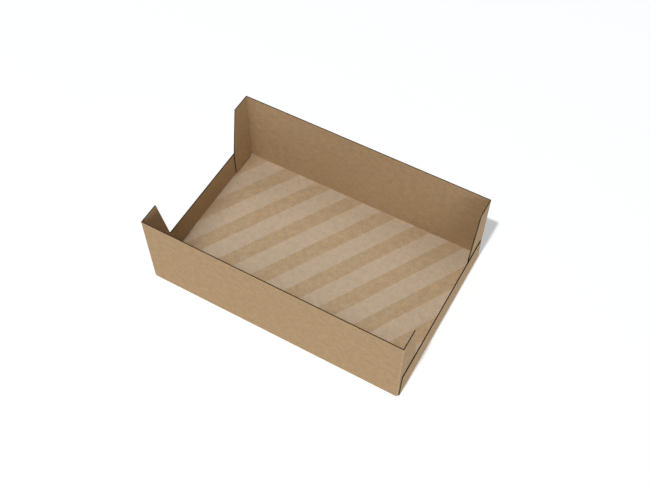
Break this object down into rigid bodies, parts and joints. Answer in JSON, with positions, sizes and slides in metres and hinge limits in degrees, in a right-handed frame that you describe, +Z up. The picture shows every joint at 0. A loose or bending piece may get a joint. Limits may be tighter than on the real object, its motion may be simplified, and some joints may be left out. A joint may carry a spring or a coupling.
{
  "type": "cardboard tray box",
  "caption": "Open kraft corrugated tray with tall front and back walls, low side walls and tapered corner flaps glued inside them, for packing and showing goods.",
  "frame": {"origin": "middle of the floor's underside", "axes": "+X along the front wall, to the right as seen from the front; -Y out of the front wall; +Z up"},
  "size_m": [0.3, 0.2, 0.1],
  "materials": {
    "kraft_board": "matte"
  },
  "bodies": {
    "root": {"tray": "kraft_board"}
  },
  "joints": []
}
